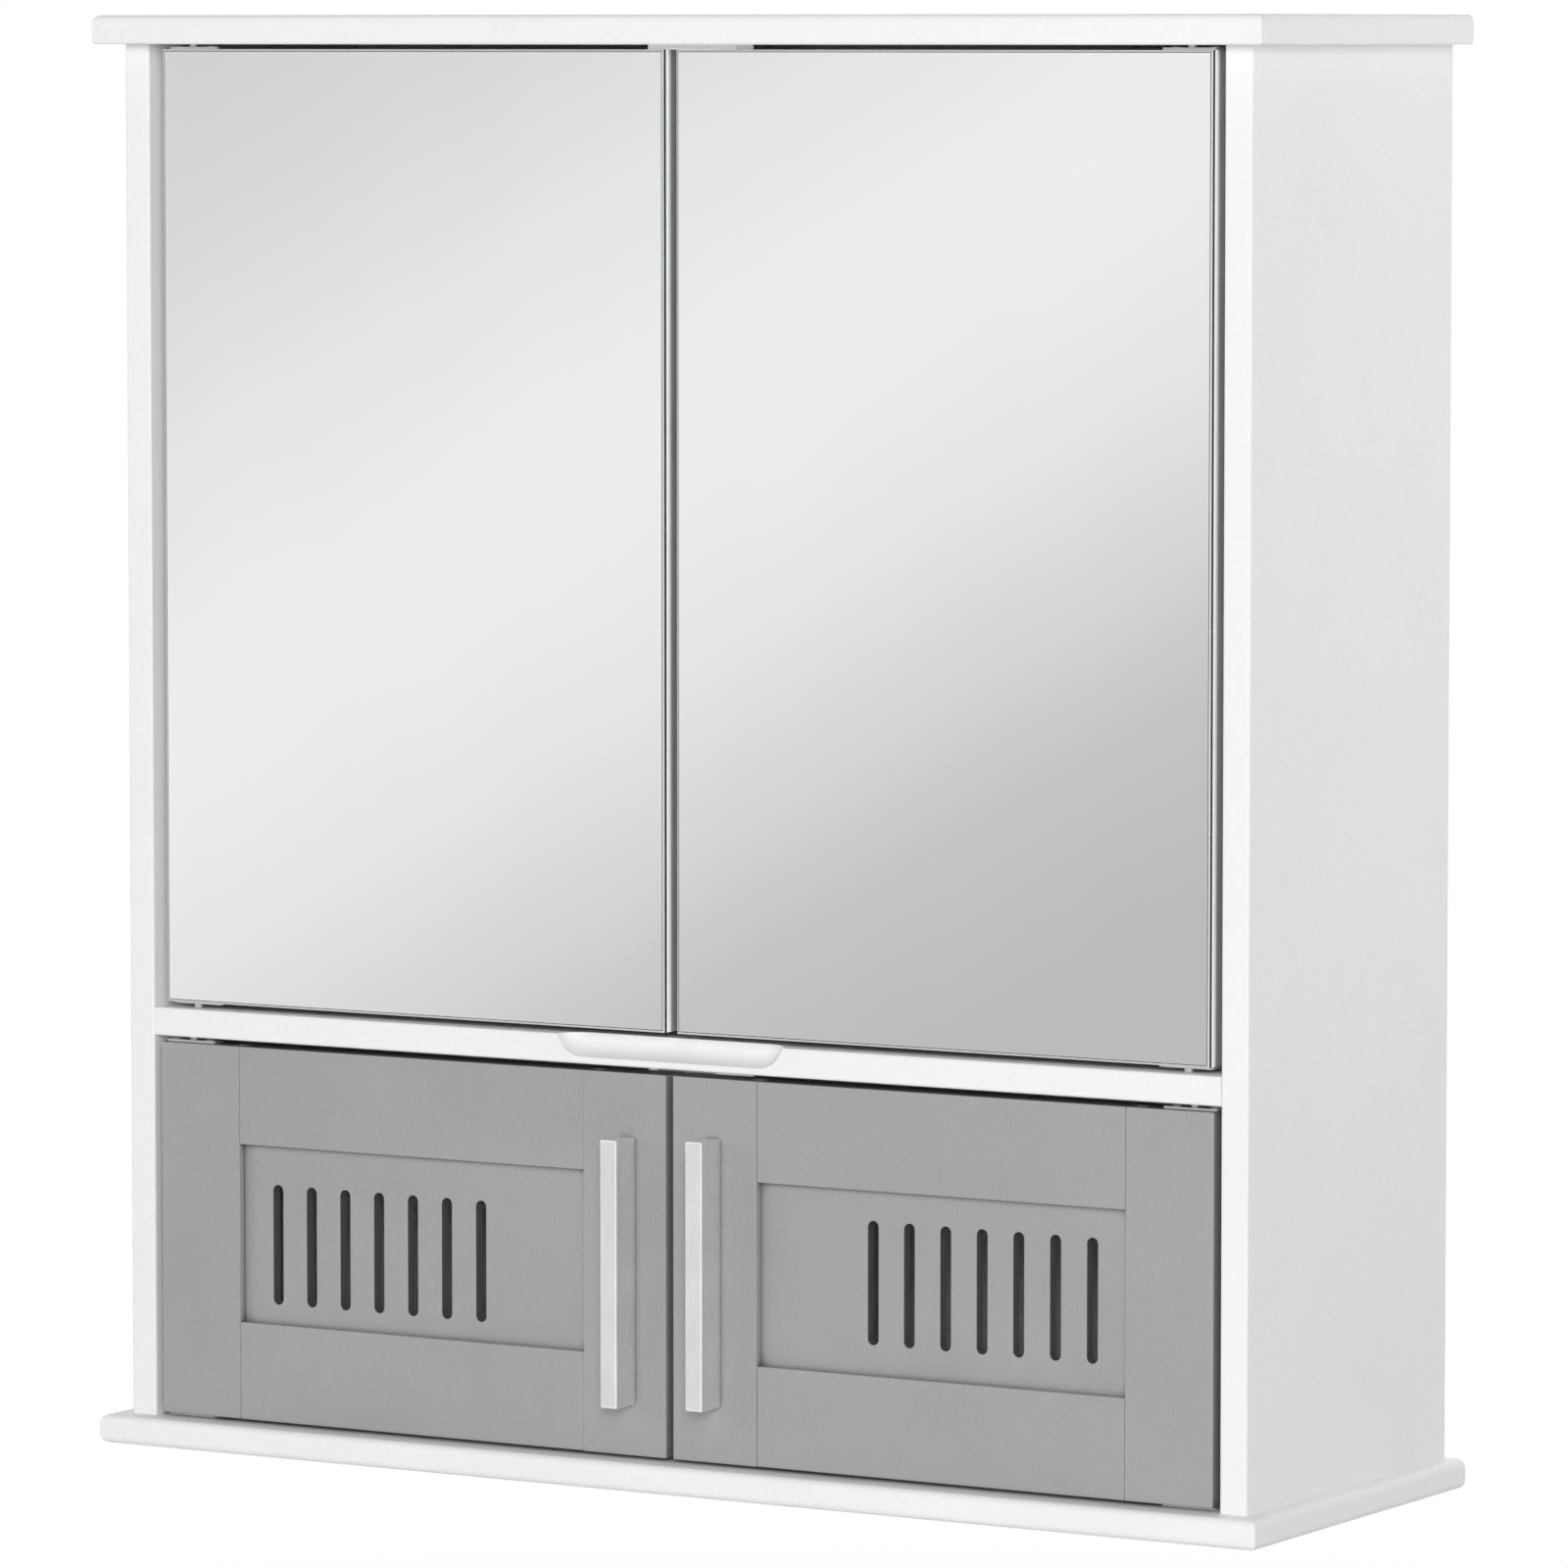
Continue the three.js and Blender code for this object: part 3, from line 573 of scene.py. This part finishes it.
def cross_ring(reach, half_width, rise, sides):
    """A cross-shaped ring with one point for each point of a round ring."""
    inner_share = 0.3
    ring = []
    for x, y, _ in round_ring(1.0, rise, sides):
        arm = max(abs(x), abs(y))
        off = min(abs(x), abs(y))
        stretch = reach / arm
        if off > inner_share:
            stretch = min(stretch, half_width / off)
        if abs(x) > abs(y):
            ring.append((x * stretch, max(-half_width, min(half_width, y * stretch)), rise))
        else:
            ring.append((max(-half_width, min(half_width, x * stretch)), y * stretch, rise))
    return ring


PLATE_THICK = 1.0 * MM
PLATE_SCREW_RADIUS = 2.1 * MM
PLATE_SCREW_HEIGHT = 0.6 * MM
PLATE_SCREW_OFFSETS = (-8.2 * MM, 8.8 * MM)


def build_plate_screws(door, side, body):
    """Two small screws in each pivot plate of a door, on either side of its pin."""
    mesh = bmesh.new()
    for end, up in (("top", 1), ("base", -1)):
        low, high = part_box(f"{door}_{side}_pivot_{end}")
        bush_low, bush_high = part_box(f"bush_{door}_{side}_{end}")
        pin_x = (bush_low.x + bush_high.x) / 2
        door_z = low.z if up > 0 else high.z
        for number, offset in enumerate(PLATE_SCREW_OFFSETS):
            x = pin_x + offset * SIDES[side]
            place = Vector((x, (low.y + high.y) / 2, door_z + up * PLATE_THICK))
            turn = 0.6 + number
            pan_head(mesh, place, (0, 0, up), PLATE_SCREW_RADIUS, PLATE_SCREW_HEIGHT, turn)
    piece = add_piece(f"{door}_{side}_plate_screws", mesh, body, "steel")
    shade(piece)


POCKET_DEPTH = 6 * MM
MAGNET_NEAR = 1.2 * MM
MAGNET_FAR = 11.4 * MM
MAGNET_HALF_HEIGHT = 2.2 * MM
POLE_THICK = 1.1 * MM
POLE_PROUD = 0.6 * MM
POLE_GAP = 0.05 * MM
POLE_EASE = 0.15 * MM
CATCH_SCREW_OFFSET = 16.5 * MM
CATCH_SCREW_RADIUS = 3.0 * MM
CATCH_SCREW_HEIGHT = 1.4 * MM


def build_catch(name, striker):
    """The two magnets of a catch, each between steel pole strips that meet its striker."""
    low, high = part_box(name)
    middle = (low + high) / 2
    pole_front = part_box(striker)[1].y + POLE_GAP
    magnet_front = pole_front + POLE_PROUD
    back = low.y + POCKET_DEPTH
    low_z, high_z = middle.z - MAGNET_HALF_HEIGHT, middle.z + MAGNET_HALF_HEIGHT
    pole_z = ((low_z - POLE_THICK, low_z), (high_z, high_z + POLE_THICK))
    magnets = bmesh.new()
    poles = bmesh.new()
    screws = bmesh.new()
    for sign in SIDES.values():
        x0, x1 = sorted((sign * MAGNET_NEAR, sign * MAGNET_FAR))
        block(magnets, (x0, magnet_front, low_z), (x1, back, high_z))
        for z0, z1 in pole_z:
            block(poles, (x0, pole_front, z0), (x1, back, z1))
        place = Vector((sign * CATCH_SCREW_OFFSET, middle.y, low.z))
        pan_head(screws, place, (0, 0, -1), CATCH_SCREW_RADIUS, CATCH_SCREW_HEIGHT, 0.4 * sign)
    # The magnet blocks' faces take the first material, the catch plastic with its painted glow.
    ferrite_blocks = add_piece(f"{name}_magnets", magnets, "carcass", "catch_plastic", "ferrite")
    pole_strips = add_piece(f"{name}_pole_strips", poles, "carcass", "steel")
    heads = add_piece(f"{name}_screws", screws, "carcass", "steel")
    for piece in (ferrite_blocks, pole_strips):
        ease_edges(piece, POLE_EASE, 2)
        shade(piece)
    shade(heads)


CAP_RADIUS = 7.5 * MM
CAP_HEIGHT = 0.9 * MM
CAP_INSET = 26 * MM
CAP_DEPTHS = (-45 * MM, -132 * MM)


def cap(mesh, place, axis):
    """Adds a low domed cover cap with a rolled rim."""
    stand = standing_on(place, axis)
    profile = [(CAP_RADIUS * reach, CAP_HEIGHT * rise) for reach, rise in CAP_PROFILE]
    rings = [round_ring(radius, height, CAP_SIDES) for radius, height in profile]
    stack_rings(mesh, [[stand @ Vector(point) for point in ring] for ring in rings])


def build_fitting_caps():
    """White caps over the cam fittings that join the boards, on faces inside the cabinet."""
    mesh = bmesh.new()
    side_low, side_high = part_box("side_left")
    shelf_low, shelf_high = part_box("middle_shelf")
    for sign in SIDES.values():
        for y in CAP_DEPTHS:
            for z in (side_high.z - CAP_INSET, side_low.z + CAP_INSET):
                cap(mesh, Vector((sign * abs(side_high.x), y, z)), (-sign, 0, 0))
            cap(mesh, Vector((sign * (shelf_high.x - CAP_INSET), y, shelf_low.z)), (0, 0, -1))
    caps = add_piece("fitting_caps", mesh, "carcass", "nylon")
    shade(caps)


def build_details():
    for side in SIDES:
        build_mirror(side)
        build_handle(side)
        build_plate_screws("mirror", side, f"mirror_door_{side}")
        build_plate_screws("lower", side, f"lower_door_{side}")
    build_catch("catch_upper", "mirror_left_striker")
    build_catch("catch_lower", "lower_left_striker")
    build_fitting_caps()


# ---- Stage -------------------------------------------------------------------------------

# Soft lights: place, aim, width and height in metres, and watts.
LIGHTS = {
    "far_right": ((2.27, -4.46, 0.5), (0.0, -0.17, -0.2), (1.6, 1.6), 111.0),
    "high_right": ((1.3, -2.3, 0.65), (0.0, -0.17, -0.15), (1.0, 1.0), 18.0),
    "left": ((-1.9, -1.6, 0.3), (0.0, -0.17, -0.2), (1.0, 1.0), 10.5),
    "right_near": ((0.95, 0.25, 0.05), (0.27, -0.09, -0.15), (0.5, 0.5), 2.1),
    "overhead": ((0.0, 0.35, 2.4), (0.0, -0.09, 0.0), (0.8, 0.8), 7.0),
    "behind": ((-0.6, 2.3, 0.5), (0.0, 0.0, -0.25), (1.4, 1.2), 22.0),
}
AMBIENT_BELOW = 0.1
AMBIENT_ABOVE = 0.15

# What mirrors and metal reflect: a soft band of light, as (place along SLANT, brightness).
SLANT = (0.4472, -0.2634, -0.854)
BAND = (
    (-0.4, 1.1), (-0.17, 0.78), (-0.07, 0.64), (-0.0265, 0.7), (-0.003, 0.8), (0.0146, 0.875),
    (0.0316, 0.9), (0.0539, 0.815), (0.0709, 0.69), (0.0818, 0.6), (0.0989, 0.54),
    (0.114, 0.53), (0.15, 0.56), (0.22, 0.8), (0.32, 1.05), (0.42, 1.4), (0.5, 2.4),
)


def make_camera():
    """The camera stands to the cabinet's right at about the height of its top board."""
    azimuth = math.radians(30.72)
    elevation = math.radians(4.68)
    distance = 3.777
    framing = Vector((0.006, 0.002, -0.016))
    aim = (cad_low + cad_high) / 2 + framing
    back = Vector((
        math.sin(azimuth) * math.cos(elevation),
        -math.cos(azimuth) * math.cos(elevation),
        math.sin(elevation),
    ))
    lens = bpy.data.cameras.new("camera")
    lens.lens = 210.3
    lens.sensor_width = 36.0
    lens.clip_end = 60.0
    camera = bpy.data.objects.new("camera", lens)
    camera.location = aim + back * distance
    camera.rotation_euler = (-back).to_track_quat("-Z", "Y").to_euler()
    bpy.context.scene.collection.objects.link(camera)
    bpy.context.scene.camera = camera


def make_lights():
    for name, (place, aim, size, power) in LIGHTS.items():
        data = bpy.data.lights.new(name, "AREA")
        data.shape = "RECTANGLE"
        data.size, data.size_y = size
        data.energy = power
        light = bpy.data.objects.new(name, data)
        light.location = place
        light.rotation_euler = (Vector(aim) - Vector(place)).to_track_quat("-Z", "Y").to_euler()
        light.visible_glossy = False
        bpy.context.scene.collection.objects.link(light)


def floor_material():
    """Matt pale grey that fades into the white of the studio, and is clear from underneath."""
    material = bpy.data.materials.new("floor")
    material.use_nodes = True
    tree = material.node_tree
    nodes = tree.nodes
    matt = nodes["Principled BSDF"]
    matt.inputs["Roughness"].default_value = 0.9
    place = nodes.new("ShaderNodeTexCoord").outputs["Object"]
    mottle = nodes.new("ShaderNodeTexNoise")
    mottle.inputs["Scale"].default_value = 9.0
    tone = nodes.new("ShaderNodeMapRange")
    tone.inputs["To Min"].default_value = 0.78
    tone.inputs["To Max"].default_value = 0.82
    glow = nodes.new("ShaderNodeEmission")
    reach = nodes.new("ShaderNodeVectorMath")
    reach.operation = "LENGTH"
    fade = nodes.new("ShaderNodeMapRange")
    fade.interpolation_type = "SMOOTHSTEP"
    fade.inputs["From Min"].default_value = 0.5
    fade.inputs["From Max"].default_value = 1.6
    fade.inputs["To Min"].default_value = 0.45
    path = nodes.new("ShaderNodeLightPath")
    lit = nodes.new("ShaderNodeMath")
    lit.operation = "SUBTRACT"
    lit.inputs[0].default_value = 1.0
    share = nodes.new("ShaderNodeMath")
    share.operation = "MULTIPLY"
    mix = nodes.new("ShaderNodeMixShader")
    clear = nodes.new("ShaderNodeBsdfTransparent")
    underside = nodes.new("ShaderNodeNewGeometry")
    surface = nodes.new("ShaderNodeMixShader")
    for output, target in (
        (place, mottle.inputs["Vector"]),
        (mottle.outputs["Fac"], tone.inputs["Value"]),
        (tone.outputs["Result"], matt.inputs["Base Color"]),
        (place, reach.inputs[0]),
        (reach.outputs["Value"], fade.inputs["Value"]),
        (path.outputs["Is Diffuse Ray"], lit.inputs[1]),
        (fade.outputs["Result"], share.inputs[0]),
        (lit.outputs["Value"], share.inputs[1]),
        (share.outputs["Value"], mix.inputs["Fac"]),
        (matt.outputs["BSDF"], mix.inputs[1]),
        (glow.outputs["Emission"], mix.inputs[2]),
        (underside.outputs["Backfacing"], surface.inputs["Fac"]),
        (mix.outputs["Shader"], surface.inputs[1]),
        (clear.outputs["BSDF"], surface.inputs[2]),
        (surface.outputs["Shader"], nodes["Material Output"].inputs["Surface"]),
    ):
        tree.links.new(output, target)
    return material


FLOOR_DROP = 0.3
FLOOR_RADIUS = 3.0


def make_floor():
    """A round floor below the hanging cabinet, which the mirrors don't show."""
    disc = bmesh.new()
    bmesh.ops.create_circle(disc, cap_ends=True, radius=FLOOR_RADIUS, segments=96)
    mesh = bpy.data.meshes.new("floor")
    disc.to_mesh(mesh)
    disc.free()
    floor = bpy.data.objects.new("floor", mesh)
    floor.location = (0, 0, cad_low.z - FLOOR_DROP)
    bpy.context.scene.collection.objects.link(floor)
    floor.visible_glossy = False
    mesh.materials.append(floor_material())


def make_world():
    """White surroundings, with a light that falls more from above, and the mirrors' band."""
    world = bpy.data.worlds.new("studio")
    world.use_nodes = True
    bpy.context.scene.world = world
    tree = world.node_tree
    nodes = tree.nodes
    direction = nodes.new("ShaderNodeTexCoord").outputs["Generated"]
    ambient = nodes["Background"]
    ambient.inputs["Color"].default_value = (1, 1, 1, 1)
    seen = nodes.new("ShaderNodeBackground")
    seen.inputs["Color"].default_value = (1, 1, 1, 1)
    band = nodes.new("ShaderNodeBackground")
    height = nodes.new("ShaderNodeSeparateXYZ")
    lift = nodes.new("ShaderNodeMapRange")
    lift.inputs["From Min"].default_value = -1.0
    lift.inputs["To Min"].default_value = AMBIENT_BELOW
    lift.inputs["To Max"].default_value = AMBIENT_ABOVE
    across = nodes.new("ShaderNodeVectorMath")
    across.operation = "DOT_PRODUCT"
    across.inputs[1].default_value = SLANT
    scale = nodes.new("ShaderNodeMapRange")
    low, high = BAND[0][0], BAND[-1][0]
    scale.inputs["From Min"].default_value = low
    scale.inputs["From Max"].default_value = high
    ramp = nodes.new("ShaderNodeValToRGB")
    ramp.color_ramp.interpolation = "CARDINAL"
    elements = ramp.color_ramp.elements
    while len(elements) < len(BAND):
        elements.new(0.5)
    for element, (position, level) in zip(elements, BAND):
        element.position = (position - low) / (high - low)
        element.color = (level, level, level, 1)
    path = nodes.new("ShaderNodeLightPath")
    glossy = nodes.new("ShaderNodeMixShader")
    camera = nodes.new("ShaderNodeMixShader")
    for output, target in (
        (direction, height.inputs["Vector"]),
        (height.outputs["Z"], lift.inputs["Value"]),
        (lift.outputs["Result"], ambient.inputs["Strength"]),
        (direction, across.inputs[0]),
        (across.outputs["Value"], scale.inputs["Value"]),
        (scale.outputs["Result"], ramp.inputs["Fac"]),
        (ramp.outputs["Color"], band.inputs["Color"]),
        (path.outputs["Is Glossy Ray"], glossy.inputs["Fac"]),
        (ambient.outputs["Background"], glossy.inputs[1]),
        (band.outputs["Background"], glossy.inputs[2]),
        (path.outputs["Is Camera Ray"], camera.inputs["Fac"]),
        (glossy.outputs["Shader"], camera.inputs[1]),
        (seen.outputs["Background"], camera.inputs[2]),
        (camera.outputs["Shader"], nodes["World Output"].inputs["Surface"]),
    ):
        tree.links.new(output, target)


def make_stage():
    bpy.context.scene.view_settings.view_transform = "Standard"
    make_camera()
    make_lights()
    make_floor()
    make_world()


dress_cad_nodes()
build_details()
make_stage()
